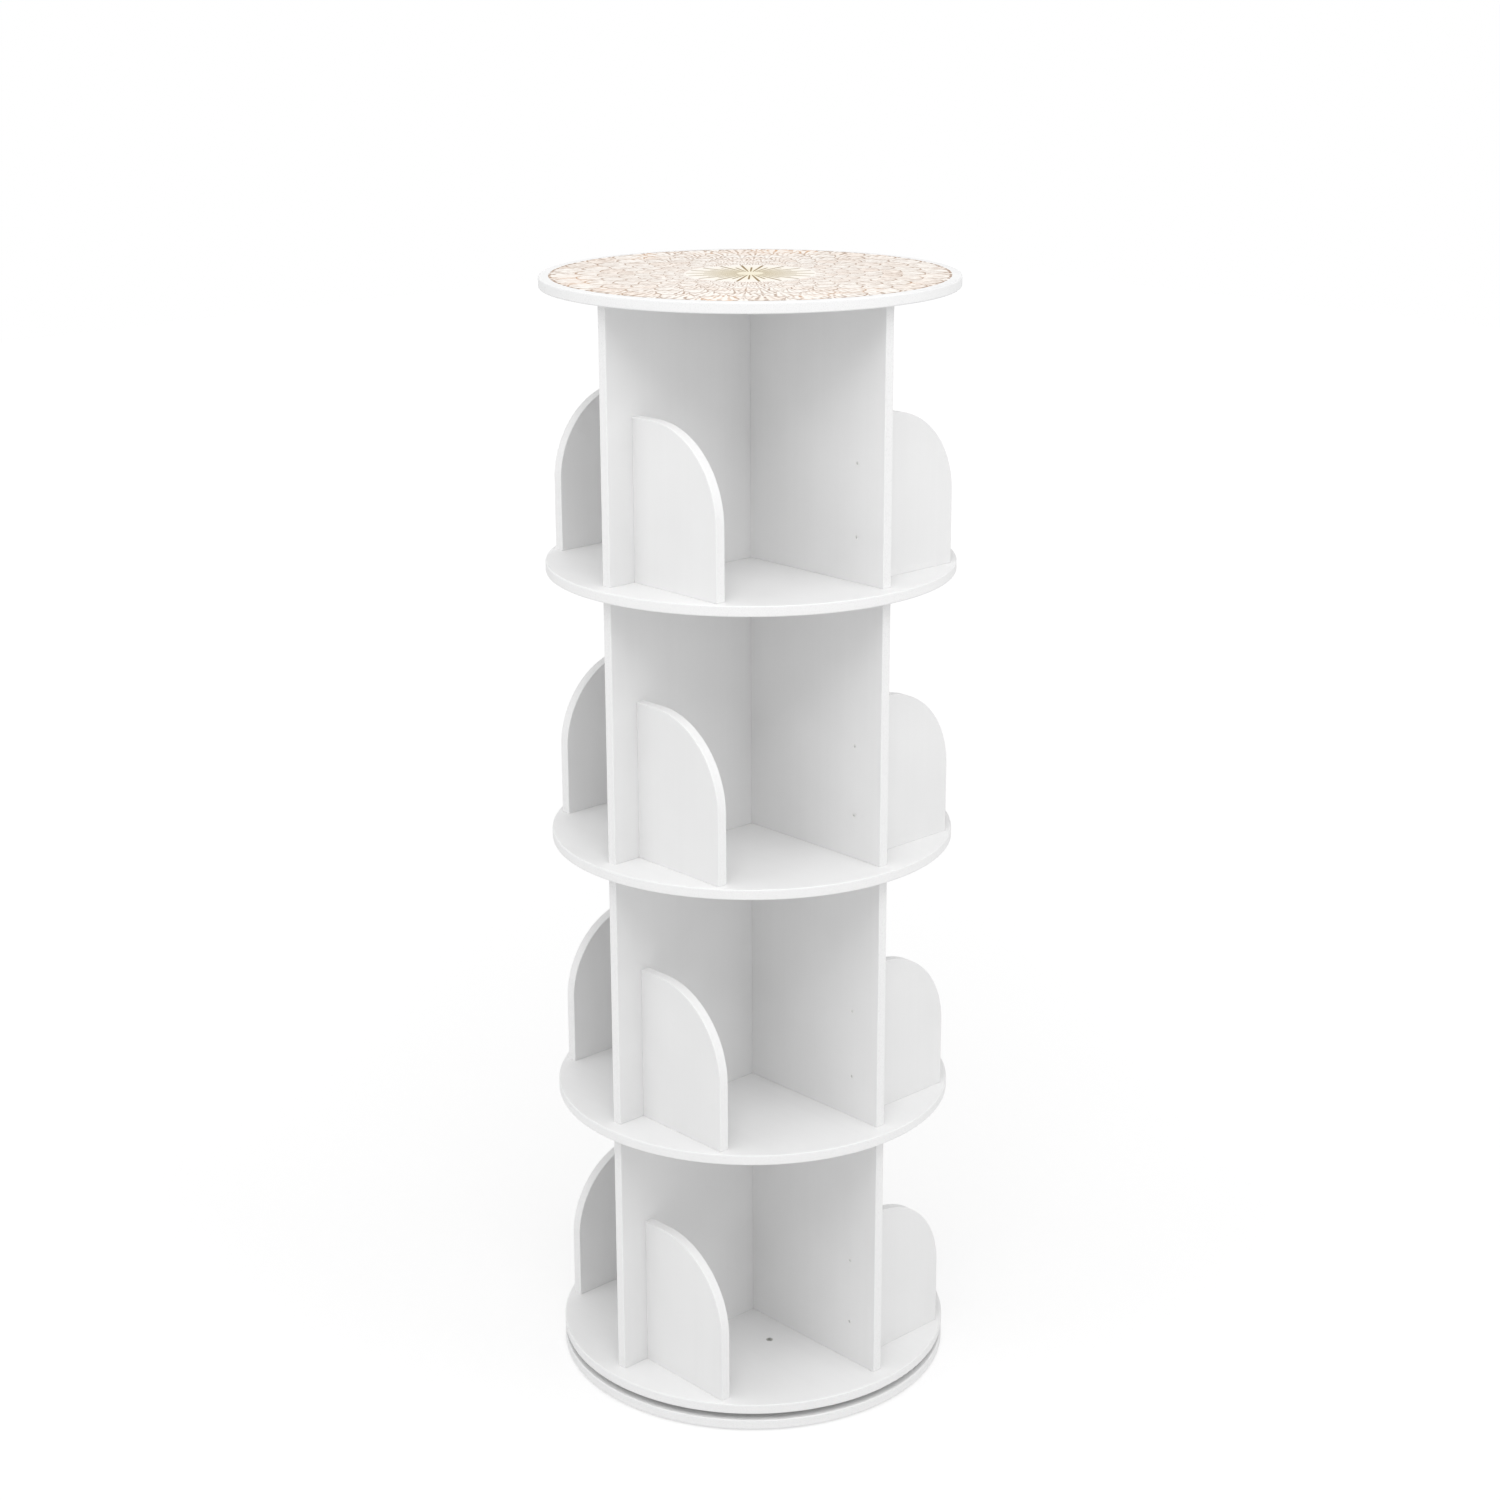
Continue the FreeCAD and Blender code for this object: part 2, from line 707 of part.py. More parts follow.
def make_brackets():
    """Small angle brackets that hold the top disc to the uprights, and their screws."""
    bracket = new_body("bracket_master")
    under_top = disc_bottom(TOP_TIER)
    inner = -(upright_face + s.bracket_thickness)
    outer = -(upright_face + s.bracket_leg)
    profile = new_sketch(bracket, "bracket_profile", "YZ_Plane", -s.bracket_offset)
    draw_polygon(profile, [(-upright_face, 0), (-upright_face, -s.bracket_leg),
                           (inner, -s.bracket_leg), (inner, -s.bracket_thickness),
                           (outer, -s.bracket_thickness), (outer, 0)])
    pad(bracket, profile, s.bracket_width, both_ways=True)
    side_face = upright_face + s.bracket_thickness
    drill(bracket, "bracket_side_hole", ("XZ_Plane", side_face, False),
          [(-s.bracket_offset, -bracket_screw_reach)], screw_hole, head_hole)
    drill(bracket, "bracket_top_hole", ("XY_Plane", -s.bracket_thickness, True),
          [(-s.bracket_offset, -(upright_face + bracket_screw_reach))], screw_hole, head_hole)
    make_group("corner_brackets", bracket, quarter_turns(place_at(0, 0, under_top)))
    screw = make_screw("bracket_screw_master", s.screw_diameter, s.screw_head_diameter,
                       s.bracket_screw_length)
    into_upright = place_at(-s.bracket_offset, inner, under_top - bracket_screw_reach,
                            TOWARDS_PLUS_Y)
    into_top = place_at(-s.bracket_offset, -(upright_face + bracket_screw_reach),
                        under_top - s.bracket_thickness, UPWARD)
    make_group("bracket_screws", screw, quarter_turns(into_upright) + quarter_turns(into_top))


# ---------------------------------------------------------------- build, check and write
def build_all():
    """Every piece of the bookcase, from the floor up."""
    make_pads()
    make_base_disc()
    make_outer_ring()
    make_inner_ring()
    make_cage()
    make_balls()
    make_floor_disc()
    for index in TIERS[:-1]:
        make_shelf_disc(index)
    make_top_disc()
    for tier in TIERS:
        make_uprights(tier)
        make_fences(tier)
    make_board_screws()
    make_turntable_screws()
    make_dowels()
    make_brackets()
    doc.recompute()


def finished_pieces():
    """The top-level solids that are pieces of the bookcase."""
    kinds = ("PartDesign::Body", "Part::Feature")
    return [thing for thing in doc.Objects
            if thing.TypeId in kinds and not thing.Label.endswith("_master")]


def check_document():
    """Stop if any object failed or any piece has no valid solid."""
    for thing in doc.Objects:
        if "Invalid" in thing.State or "Error" in thing.State:
            raise RuntimeError(f"{thing.Label} failed to recompute")
    for piece in finished_pieces():
        if piece.Shape.isNull() or not piece.Shape.isValid() or not piece.Shape.Solids:
            raise RuntimeError(f"{piece.Label} has no valid solid")


def write_steps():
    """One STEP file for each piece."""
    os.makedirs("parts", exist_ok=True)
    for piece in finished_pieces():
        piece.Shape.exportStep(os.path.join("parts", f"{piece.Label}.step"))


build_all()
check_document()
write_steps()
print(len(finished_pieces()), "pieces, height", round((disc_bottom(TOP_TIER) + s.disc_thickness).number, 3))
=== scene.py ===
import math
from functools import partial

import bmesh
import bpy
from mathutils import Matrix

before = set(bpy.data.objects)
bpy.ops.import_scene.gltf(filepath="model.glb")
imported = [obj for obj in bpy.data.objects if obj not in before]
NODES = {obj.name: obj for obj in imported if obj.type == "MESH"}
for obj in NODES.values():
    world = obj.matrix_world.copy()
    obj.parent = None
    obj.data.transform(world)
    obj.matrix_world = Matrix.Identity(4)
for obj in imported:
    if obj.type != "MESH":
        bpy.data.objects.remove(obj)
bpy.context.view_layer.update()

bl_info = {
    "name": "Revolving media tower",
    "version": (1, 0, 0),
    "blender": (4, 5, 0),
    "location": "3D View > Sidebar > Tower",
    "description": "Finishes a round revolving tower of white boards and sets it in a studio",
    "category": "Object",
}

MM = 0.001

DISCS = ("base_disc", "floor_disc", "shelf_disc_1", "shelf_disc_2", "shelf_disc_3")
TOP = ("top_disc",)
# Standing boards by the axis that their skins face
UPRIGHTS = {
    "X": [name for name in NODES if name.endswith("_upright_y")],
    "Y": [name for name in NODES if name.endswith("_upright_x")],
}
FENCES = {
    "X": [name for name in NODES if name.endswith(("_fence_a", "_fence_c"))],
    "Y": [name for name in NODES if name.endswith(("_fence_b", "_fence_d"))],
}
RINGS = ("turntable_outer_ring", "turntable_inner_ring")
ZINC_SCREWS = ("turntable_base_screws", "turntable_floor_bolts", "floor_upright_screws",
               "shelf_upright_screws", "fence_foot_screws", "bracket_screws")


# ---------------------------------------------------------------- colours and nodes
def linear(hex_colour):
    """An sRGB hex colour as the linear red, green and blue that Blender works in."""
    channels = [int(hex_colour[at:at + 2], 16) / 255 for at in (1, 3, 5)]
    return [c / 12.92 if c <= 0.04045 else ((c + 0.055) / 1.055) ** 2.4 for c in channels]


def add_node(tree, kind, *inputs, **named):
    """Add a node with its settings and links.

    Inputs in order fill the sockets in use. A named value is a setting where
    its name starts with a small letter. Where it starts with a capital it is
    a socket, with underscores for spaces. A node given as a value is linked
    from its first output in use.
    """
    node = tree.nodes.new("ShaderNode" + kind)
    for name, value in named.items():
        if name[0].islower():
            setattr(node, name, value)
    in_use = [socket for socket in node.inputs if socket.enabled]
    by_name = {socket.name.replace(" ", "_"): socket for socket in reversed(in_use)}
    filled = list(zip(in_use, inputs))
    filled += [(by_name[name], value) for name, value in named.items() if name[0].isupper()]
    for socket, value in filled:
        if isinstance(value, bpy.types.Node):
            value = next(output for output in value.outputs if output.enabled)
        if isinstance(value, bpy.types.NodeSocket):
            tree.links.new(value, socket)
        else:
            socket.default_value = (*value[:3], 1.0) if socket.type == "RGBA" else value
    return node


def new_material(name):
    """An empty material, and the function that adds nodes to it."""
    material = bpy.data.materials.new(name)
    material.use_nodes = True
    material.node_tree.nodes.clear()
    return material, partial(add_node, material.node_tree)


def place_in_mm(add):
    """A point of the tower at rest, in millimetres from the turning axis at the floor."""
    place = add("TexCoord").outputs["Object"]
    return add("VectorMath", place, Scale=1 / MM, operation="SCALE")


def reach_of(add, place):
    """A point's distance from the turning axis."""
    flat = add("VectorMath", place, (1, 1, 0), operation="MULTIPLY")
    return add("VectorMath", flat, operation="LENGTH").outputs["Value"]


def facing(add, axis):
    """How far a face looks along one of its piece's own axes, from -1 to 1."""
    normal = add("TexCoord").outputs["Normal"]
    return add("SeparateXYZ", normal).outputs[axis]


def dress(names, material):
    """Give CAD nodes one material."""
    for name in names:
        mesh = NODES[name].data
        mesh.materials.clear()
        mesh.materials.append(material)


# ---------------------------------------------------------------- sizes and colours
def colour_property(name, description, hex_colour):
    """A colour that a user would change."""
    return bpy.props.FloatVectorProperty(name=name, description=description, subtype="COLOR",
                                         size=3, min=0, max=1, default=linear(hex_colour))


def length_property(name, description, metres):
    """A length that a user would change."""
    return bpy.props.FloatProperty(name=name, description=description, subtype="DISTANCE",
                                   unit="LENGTH", min=0, default=metres)


def angle_property(name, description, degrees):
    """An angle that a user would change."""
    return bpy.props.FloatProperty(name=name, description=description, subtype="ANGLE",
                                   unit="ROTATION", default=math.radians(degrees))


def power_property(name, description, watts):
    """A lamp's power that a user would change."""
    return bpy.props.FloatProperty(name=name, description=description, unit="POWER", min=0,
                                   default=watts)


class TowerBoards(bpy.types.PropertyGroup):
    """Colours of the white boards."""

    skin: colour_property("Skin", "Calendered skin of the foamed board", "#E9E9E9")
    shade: colour_property("Shade", "Faint darker clouds in the skin", "#E5E5E5")
    # the cut edge's colour is partly the foam's own white and partly a painted highlight that
    # lifts the rims
    cut: colour_property("Cut edge", "Routed and eased edge of the board", "#EDEDED")
    pore: colour_property("Pores", "Cells of the foam where the edge is cut", "#E2E2E2")


class TowerPrint(bpy.types.PropertyGroup):
    """The print on the top: rows of overlapping fans round a rayed boss."""

    radius: length_property("Radius", "Outer edge of the print", 219 * MM)
    boss_radius: length_property("Boss", "Radius of the rayed boss at the centre", 72 * MM)
    fans: bpy.props.IntProperty(name="Fans", description="Fans in each row", min=6, default=28)
    ground: colour_property("Ground", "Cream ground of the print", "#F0EBE5")
    blush: colour_property("Blush", "Warmer fans among the cream ones", "#EEE4DB")
    line: colour_property("Line", "Tan line work", "#A9917E")
    dark_line: colour_property("Dark line", "Brown stitches along the rim", "#8A6A50")
    amber: colour_property("Amber", "Amber lines in the outer rows", "#CF9D6C")
    straw: colour_property("Straw", "Straw ground of the boss's centre", "#E8E0CA")
    olive: colour_property("Olive", "Rays of the boss", "#846B3C")


class TowerStudio(bpy.types.PropertyGroup):
    """Camera, floor and light."""

    azimuth: angle_property("Azimuth", "Camera's turn round the tower from facing +Y", -43.1076)
    distance: length_property("Distance", "Camera to the turning axis", 2.9012)
    height: length_property("Height", "Camera above the floor", 1.6551)
    pitch: angle_property("Pitch", "Camera's tilt below the horizon", 17.369)
    yaw: angle_property("Yaw", "Camera's turn off the turning axis", 0.037)
    roll: angle_property("Roll", "Camera's lean", -0.185)
    lens: bpy.props.FloatProperty(name="Lens", description="Focal length", unit="CAMERA",
                                  min=1, default=63.613)
    floor_size: length_property("Floor", "Side of the floor", 16.0)
    floor_colour: colour_property("Floor colour", "Matt white floor", "#E9E9E9")
    room_level: bpy.props.FloatProperty(name="Room light", min=0, default=0.75,
                                        description="Even light from the white room")
    front_power: power_property("Front lamp", "Soft box above and in front", 64)
    left_power: power_property("Left lamp", "Soft box above and to the left", 14)
    right_power: power_property("Right lamp", "Soft box above and to the right", 17)


# ---------------------------------------------------------------- finishes
BOARD_IOR = 1.53
INK_ROUGHNESS = 0.72
FAN_HEIGHT = 0.62  # in widths of a fan
FAN_FOOT = 1.25  # how far below a fan's row its ribs meet, in heights of a fan
FAN_RIBS = 9
STITCHES_PER_FAN = 3
BOSS_RAYS = 36


def board_finish(add, boards, skin_axis):
    """Colour, roughness and bump of foamed PVC board whose skins face one axis."""
    # Calendered between rollers: a satin white skin, all but flat, with faint clouds and
    # lengthways draw lines. The edge is routed and eased by hand: matt, with the foam's cells
    # in it, and a shade whiter, partly the foam's own white and partly a painted highlight.
    place = place_in_mm(add)
    toward_skin = add("Math", facing(add, skin_axis), operation="ABSOLUTE")
    # faces turned away from the skin axis are the cut edges: matt and pored, and whiter, which
    # is partly painted highlight
    cut_edge_with_painted_highlight = add("MapRange", toward_skin, 0.9, 0.55)
    cloud = add("TexNoise", Vector=place, Scale=1 / 130, Detail=2.0)
    # draw lines 7 mm wide run up a standing board and across a disc
    run = (1 / 7, 1 / 420, 1 / 7) if skin_axis == "Z" else (1 / 7, 1 / 7, 1 / 420)
    lines = add("TexNoise", Vector=add("VectorMath", place, run, operation="MULTIPLY"),
                Scale=1.0, Detail=3.0)
    mottle = add("Math", lines, 0.25, cloud, operation="MULTIPLY_ADD")
    skin = add("Mix", add("MapRange", mottle, 0.44, 0.81), boards.skin, boards.shade,
               data_type="RGBA")
    # the cells measure about 0.1 mm, drawn nine times as coarse to show at all
    pores = add("TexNoise", Vector=place, Scale=1 / 0.9, Detail=2.0, Roughness=0.6)
    # the cut edge is a shade whiter than the skin, partly its own white and partly a painted
    # highlight on the rims
    cut = add("Mix", add("MapRange", pores, 0.52, 0.68), boards.cut, boards.pore,
              data_type="RGBA")
    colour = add("Mix", cut_edge_with_painted_highlight, skin, cut, data_type="RGBA")
    satin = add("MapRange", cloud, 0.3, 0.7, 0.48, 0.58)
    roughness = add("Mix", cut_edge_with_painted_highlight, satin, 0.7)
    orange_peel = add("TexNoise", Vector=place, Scale=1 / 2.4, Detail=1.0)
    bump = add("Bump", Strength=0.25, Distance=0.08 * MM,
               Height=add("Mix", cut_edge_with_painted_highlight, orange_peel, pores))
    return place, colour, roughness, bump


def calendered_board(name, boards, skin_axis):
    """Material of a white board."""
    material, add = new_material(name)
    _, colour, roughness, bump = board_finish(add, boards, skin_axis)
    add("OutputMaterial", add("BsdfPrincipled", Base_Color=colour, Roughness=roughness,
                              Normal=bump, IOR=BOARD_IOR))
    return material


def fan_rows(add, place, reach, turn, look):
    """Line work of rows of overlapping fans round the axis, and a random number for each.

    The rows grow outwards in proportion to their distance from the axis, so
    each fan keeps its shape.
    """
    # the lines waver by a few hundredths of a fan, as cut by hand
    hand = add("TexNoise", Vector=place, Scale=1 / 9, Detail=2.0)
    waver = add("MapRange", hand, 0.0, 1.0, -0.08, 0.08)
    across = add("Math", turn, look.fans / math.tau, waver, operation="MULTIPLY_ADD")
    growth = add("Math", add("Math", reach, look.boss_radius / MM, operation="DIVIDE"), math.e,
                 operation="LOGARITHM")
    outward = add("Math", growth, look.fans / math.tau / FAN_HEIGHT, waver,
                  operation="MULTIPLY_ADD")
    row = add("Math", outward, operation="FLOOR")
    rise = add("Math", outward, operation="FRACT")
    # every other row is set off by half a fan
    odd = add("Math", row, 2.0, operation="FLOORED_MODULO")
    column = add("Math", odd, 0.5, across, operation="MULTIPLY_ADD")
    aside = add("Math", add("Math", column, operation="FRACT"), 0.5, operation="SUBTRACT")
    # a fan ends in a half circle, and behind it shows the next row's fan: half a fan
    # aside and one row out
    spread = add("Math", aside, aside, operation="MULTIPLY")
    crown = add("Math", add("Math", spread, -4.0, 1.0, operation="MULTIPLY_ADD"),
                operation="SQRT")
    behind = add("Math", rise, crown, operation="GREATER_THAN")
    step = add("Math", add("Math", aside, operation="SIGN"), behind, operation="MULTIPLY")
    own_aside = add("Math", step, -0.5, aside, operation="MULTIPLY_ADD")
    own_column = add("Math", step, 0.5, add("Math", column, operation="FLOOR"),
                     operation="MULTIPLY_ADD")
    own_rise = add("Math", rise, behind, operation="SUBTRACT")
    own_row = add("Math", row, behind, operation="ADD")
    # ribs spread from the fan's hidden foot, some of them faint
    from_foot = add("Math", own_rise, FAN_FOOT, operation="ADD")
    slant = add("Math", add("Math", own_aside, from_foot, operation="DIVIDE"), FAN_RIBS,
                operation="MULTIPLY")
    off_rib = add("Math", slant, 0.5, operation="PINGPONG")
    rib = add("CombineXYZ", own_column, own_row, add("Math", slant, operation="ROUND"))
    faint = add("TexWhiteNoise", rib, noise_dimensions="3D").outputs["Value"]
    ribs = add("Math", add("MapRange", off_rib, 0.14, 0.24, 1.0, 0.0),
               add("MapRange", faint, 0.0, 0.8, 0.3, 1.0), operation="MULTIPLY")
    # they break off here and there, as from a worn wood block
    worn = add("TexNoise", Vector=place, Scale=1 / 9, Detail=3.0)
    ribs = add("Math", ribs, add("MapRange", worn, 0.36, 0.52), operation="MULTIPLY")
    off_crown = add("Math", add("Math", rise, crown, operation="SUBTRACT"),
                    operation="ABSOLUTE")
    outline = add("MapRange", off_crown, 0.03, 0.08, 1.0, 0.0)
    lines = add("Math", ribs, outline, operation="MAXIMUM")
    fan = add("CombineXYZ", own_column, own_row, 0.0)
    chance = add("TexWhiteNoise", fan, noise_dimensions="3D").outputs["Value"]
    return lines, chance


def boss_rays(add, reach, turn, boss):
    """Tapering rays round a bare heart, every other one long."""
    short_ray, long_ray = boss * 0.72, boss * 0.98
    beam = add("Math", turn, BOSS_RAYS / math.tau, operation="MULTIPLY")
    odd = add("Math", add("Math", beam, operation="FLOOR"), 2.0, operation="FLOORED_MODULO")
    length = add("MapRange", odd, 0.0, 1.0, short_ray, long_ray)
    along = add("Math", reach, length, operation="DIVIDE")
    half_width = add("MapRange", along, 0.1, 1.0, 0.27, 0.14)
    off_beam = add("Math", add("Math", beam, 0.5, operation="ADD"), 0.5, operation="PINGPONG")
    rays = add("MapRange", off_beam, add("Math", half_width, 0.06, operation="SUBTRACT"),
               half_width, 1.0, 0.0)
    tips = add("MapRange", along, 0.98, 1.0, 1.0, 0.0)
    heart = add("MapRange", reach, boss * 0.19, boss * 0.21)
    return add("Math", add("Math", rays, tips, operation="MULTIPLY"), heart,
               operation="MULTIPLY")


def print_colour(add, place, reach, look):
    """Colour of the print: fans on cream with a stitched rim, and a boss with olive rays."""
    axes = add("SeparateXYZ", place)
    turn = add("Math", axes.outputs["Y"], axes.outputs["X"], operation="ARCTAN2")
    outer = look.radius / MM
    boss = look.boss_radius / MM
    lines, chance = fan_rows(add, place, reach, turn, look)
    ground = add("Mix", add("MapRange", chance, 0.45, 0.95), look.ground, look.blush,
                 data_type="RGBA")
    # patches of the outer rows are drawn in amber
    patch = add("TexNoise", Vector=place, Scale=1 / 75, Detail=2.0)
    amber = add("Math", add("MapRange", patch, 0.50, 0.62),
                add("MapRange", reach, outer * 0.72, outer), operation="MULTIPLY")
    ink = add("Mix", amber, look.line, look.amber, data_type="RGBA")
    fans = add("Mix", lines, ground, ink, data_type="RGBA")
    centre = add("Mix", add("MapRange", reach, boss * 0.3, boss), look.straw, look.ground,
                 data_type="RGBA")
    centre = add("Mix", boss_rays(add, reach, turn, boss), centre, look.olive,
                 data_type="RGBA")
    pattern = add("Mix", add("MapRange", reach, boss - 0.5, boss + 0.5), centre, fans,
                  data_type="RGBA")
    # short stitches across the last 3 mm
    beat = add("Math", turn, look.fans * STITCHES_PER_FAN / math.tau, operation="MULTIPLY")
    off_stitch = add("Math", beat, 0.5, operation="PINGPONG")
    rim = add("Math", add("MapRange", off_stitch, 0.12, 0.2, 1.0, 0.0),
              add("MapRange", reach, outer - 3.4, outer - 2.8), operation="MULTIPLY")
    return add("Mix", rim, pattern, look.dark_line, data_type="RGBA")


def printed_board(boards, look):
    """Material of a white board whose upper face is printed with cured ink."""
    # The ink is duller than the satin skin it lies on, and stops short of the white rim.
    material, add = new_material("calendered_foamed_pvc_printed")
    place, colour, roughness, bump = board_finish(add, boards, "Z")
    reach = reach_of(add, place)
    outer = look.radius / MM
    inked = add("Math", add("MapRange", facing(add, "Z"), 0.95, 0.99),
                add("MapRange", reach, outer + 0.2, outer - 0.4), operation="MULTIPLY")
    colour = add("Mix", inked, colour, print_colour(add, place, reach, look),
                 data_type="RGBA")
    add("OutputMaterial", add("BsdfPrincipled", Base_Color=colour, Normal=bump,
                              Roughness=add("Mix", inked, roughness, INK_ROUGHNESS),
                              IOR=BOARD_IOR))
    return material


def brushed_aluminium():
    """Material of the bearing's rings."""
    # Extruded, bent to a ring and lightly brushed along it: fine lines round the axis, so
    # highlights run across them. The lines lie about 0.1 mm apart, drawn at 0.7 mm to show.
    material, add = new_material("brushed_aluminium")
    reach = reach_of(add, place_in_mm(add))
    strokes = add("TexNoise", W=reach, Scale=1 / 0.7, Detail=2.0, noise_dimensions="1D")
    colour = add("Mix", strokes, linear("#C6C8CB"), linear("#D6D7D9"), data_type="RGBA")
    bump = add("Bump", Strength=0.3, Distance=0.03 * MM, Height=strokes)
    add("OutputMaterial", add("BsdfPrincipled", Base_Color=colour, Metallic=1.0, Normal=bump,
                              Roughness=add("MapRange", strokes, 0.3, 0.7, 0.28, 0.4)))
    return material


def bright_zinc_plated_steel():
    """Material of the plain screws and bolts."""
    # Plated steel with a passivated film: a cool grey that clouds to straw.
    material, add = new_material("bright_zinc_plated_steel")
    film = add("TexNoise", Vector=place_in_mm(add), Scale=1 / 1.6, Detail=3.0)
    colour = add("Mix", add("MapRange", film, 0.35, 0.65), linear("#B9BEC3"),
                 linear("#CFCBBF"), data_type="RGBA")
    add("OutputMaterial", add("BsdfPrincipled", Base_Color=colour, Metallic=1.0,
                              Roughness=add("MapRange", film, 0.3, 0.7, 0.24, 0.42)))
    return material


def polished_bearing_steel():
    """Material of the bearing's balls."""
    # Ground and polished, with a film of grease that dulls the mirror in patches.
    material, add = new_material("polished_bearing_steel")
    film = add("TexNoise", Vector=place_in_mm(add), Scale=1 / 3, Detail=2.0)
    colour = add("Mix", film, linear("#D2D3D6"), linear("#BEBDB8"), data_type="RGBA")
    add("OutputMaterial", add("BsdfPrincipled", Base_Color=colour, Metallic=1.0,
                              Roughness=add("MapRange", film, 0.4, 0.65, 0.08, 0.25)))
    return material


def white_coating(name, grain_mm, roughness):
    """Material of white steel pieces, from the size of the coating's grain."""
    # Lacquer flows out smooth and glossy, and baked powder stays matt with a fine texture.
    material, add = new_material(name)
    grain = add("TexNoise", Vector=place_in_mm(add), Scale=1 / grain_mm, Detail=2.0)
    colour = add("Mix", add("MapRange", grain, 0.4, 0.7), linear("#EBEBEA"),
                 linear("#E1E1E0"), data_type="RGBA")
    bump = add("Bump", Strength=0.4, Distance=0.04 * MM, Height=grain)
    add("OutputMaterial", add("BsdfPrincipled", Base_Color=colour, Roughness=roughness,
                              Normal=bump, IOR=1.5))
    return material


def moulded_nylon():
    """Material of the ball cage."""
    # Undyed and moulded: milky and faintly cloudy, with a soft gloss.
    material, add = new_material("moulded_natural_nylon")
    cloud = add("TexNoise", Vector=place_in_mm(add), Scale=1 / 6, Detail=2.0)
    colour = add("Mix", cloud, linear("#E3DECF"), linear("#D3CCB8"), data_type="RGBA")
    add("OutputMaterial", add("BsdfPrincipled", Base_Color=colour, IOR=1.53,
                              Roughness=add("MapRange", cloud, 0.3, 0.7, 0.38, 0.5)))
    return material


def die_cut_foam_rubber():
    """Material of the pads under the base."""
    # Die-cut dense foam: near black and dull, with open cells.
    material, add = new_material("die_cut_foam_rubber")
    cells = add("TexNoise", Vector=place_in_mm(add), Scale=1 / 0.9, Detail=3.0,
                Roughness=0.7)
    colour = add("Mix", add("MapRange", cells, 0.4, 0.65), linear("#2B2B2C"),
                 linear("#3A3A3B"), data_type="RGBA")
    bump = add("Bump", Strength=0.6, Distance=0.2 * MM, Height=cells)
    add("OutputMaterial", add("BsdfPrincipled", Base_Color=colour, Roughness=0.9,
                              Normal=bump, IOR=1.5))
    return material


def turned_beech():
    """Material of the dowels."""
    # Turned from the rod: pale and dry, with short dark flecks along the grain.
    material, add = new_material("turned_beech")
    place = place_in_mm(add)
    fibres = add("VectorMath", place, (1 / 1.2, 1 / 1.2, 1 / 18), operation="MULTIPLY")
    rays = add("VectorMath", place, (1 / 0.4, 1 / 0.4, 1 / 2.5), operation="MULTIPLY")
    grain = add("TexNoise", Vector=fibres, Scale=1.0, Detail=3.0)
    flecks = add("TexNoise", Vector=rays, Scale=1.0, Detail=1.0)
    wood = add("Mix", add("MapRange", grain, 0.35, 0.65), linear("#D3AD80"),
               linear("#C2986A"), data_type="RGBA")
    colour = add("Mix", add("MapRange", flecks, 0.62, 0.7), wood, linear("#9C7348"),
                 data_type="RGBA")
    bump = add("Bump", Strength=0.3, Distance=0.05 * MM, Height=grain)
    add("OutputMaterial", add("BsdfPrincipled", Base_Color=colour, Roughness=0.6,
                              Normal=bump, IOR=1.5))
    return material


# ---------------------------------------------------------------- studio
LAMP_AIM = 0.8  # height above the floor that the lamps face, in metres
# Soft boxes: turn from the camera's side in degrees, then in metres the distance from the
# turning axis, the height and the side of the square
SOFT_BOXES = {
    "front": (0, 2.6, 4.4, 2.4),
    "left": (-65, 2.6, 2.6, 2.0),
    "right": (65, 2.6, 2.6, 2.0),
}


def seen_as_background(add):
    """1 for rays that show the background: the camera's own, or by gloss or glass."""
    rays = add("LightPath").outputs
    straight = add("Math", rays["Is Camera Ray"], rays["Is Glossy Ray"], operation="MAXIMUM")
    return add("Math", straight, rays["Is Transmission Ray"], operation="MAXIMUM")


def matt_white_floor(studio):
    """Material of the floor: white as the background, with the tower's soft shadow."""
    material, add = new_material("matt_white_painted_floor")
    place = place_in_mm(add)
    cloud = add("TexNoise", Vector=place, Scale=1 / 400, Detail=2.0)
    colour = add("Mix", cloud, studio.floor_colour, linear("#E6E6E6"), data_type="RGBA")
    # Seen, the floor glows just enough to be white outside the shadow, and more as the
    # lamps' light thins out, from 0.5 m off the axis to 4.5 m
    glow = add("MapRange", reach_of(add, place), 500.0, 4500.0, 0.64, 0.77)
    shown = add("AddShader", add("Emission", linear("#FFFFFF"), glow),
                add("BsdfDiffuse", linear("#A0A0A0")))
    add("OutputMaterial", add("MixShader", seen_as_background(add),
                              add("BsdfDiffuse", colour), shown))
    return material


def lay_floor(studio):
    """Put a flat floor under the tower."""
    mesh = bpy.data.meshes.new("studio_floor")
    ground = bmesh.new()
    bmesh.ops.create_grid(ground, x_segments=8, y_segments=8, size=studio.floor_size / 2)
    ground.to_mesh(mesh)
    ground.free()
    mesh.materials.append(matt_white_floor(studio))
    floor = bpy.data.objects.new("studio_floor", mesh)
    bpy.context.scene.collection.objects.link(floor)


def light_room(studio):
    """Fill the room with even white light."""
    world = bpy.data.worlds.new("white_room")
    world.use_nodes = True
    world.node_tree.nodes.clear()
    add = partial(add_node, world.node_tree)
    level = add("Mix", seen_as_background(add), studio.room_level, 1.0)
    add("OutputWorld", add("Background", linear("#FFFFFF"), level))
    bpy.context.scene.world = world


def add_soft_box(name, azimuth, reach, height, side, power):
    """A square lamp that faces the tower's middle."""
    lamp = bpy.data.lights.new(name, "AREA")
    lamp.shape = "SQUARE"
    lamp.size = side
    lamp.energy = power
    box = bpy.data.objects.new(name, lamp)
    tilt = math.atan2(reach, height - LAMP_AIM)
    box.matrix_world = (Matrix.Rotation(azimuth, 4, "Z")
                        @ Matrix.Translation((0, -reach, height))
                        @ Matrix.Rotation(tilt, 4, "X"))
    bpy.context.scene.collection.objects.link(box)


